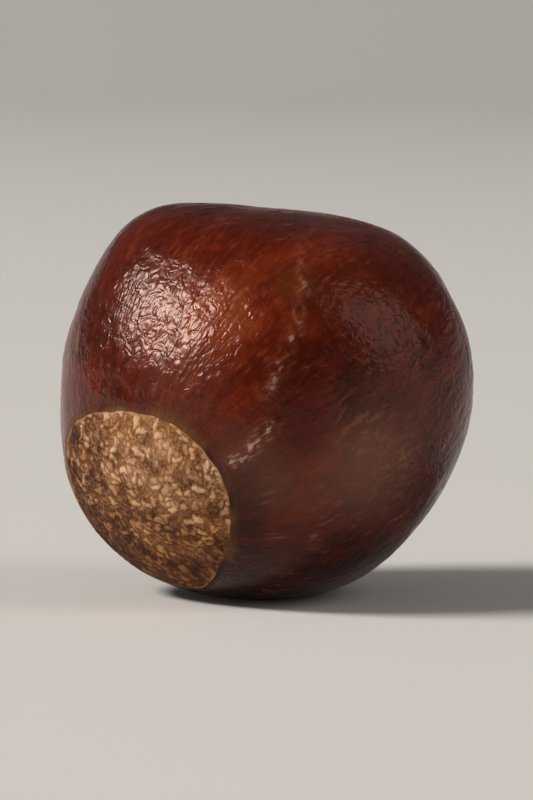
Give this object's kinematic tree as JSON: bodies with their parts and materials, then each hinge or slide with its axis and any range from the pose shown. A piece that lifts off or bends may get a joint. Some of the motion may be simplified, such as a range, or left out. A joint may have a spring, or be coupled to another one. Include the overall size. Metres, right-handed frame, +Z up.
{
  "type": "conker",
  "caption": "Whole horse chestnut seed with a glossy brown coat and a pale grainy scar, resting on a small flat spot.",
  "frame": {"origin": "middle of the small flat spot that the conker rests on", "axes": "+Z up; -Y is the front, from which the picture looks; the scar faces the front left and a little down"},
  "size_m": [0.034, 0.0332, 0.0323],
  "materials": {
    "seed_coat": "glossy natural seed coat with a matt cork scar"
  },
  "bodies": {
    "root": {"conker": "seed_coat"}
  },
  "joints": []
}
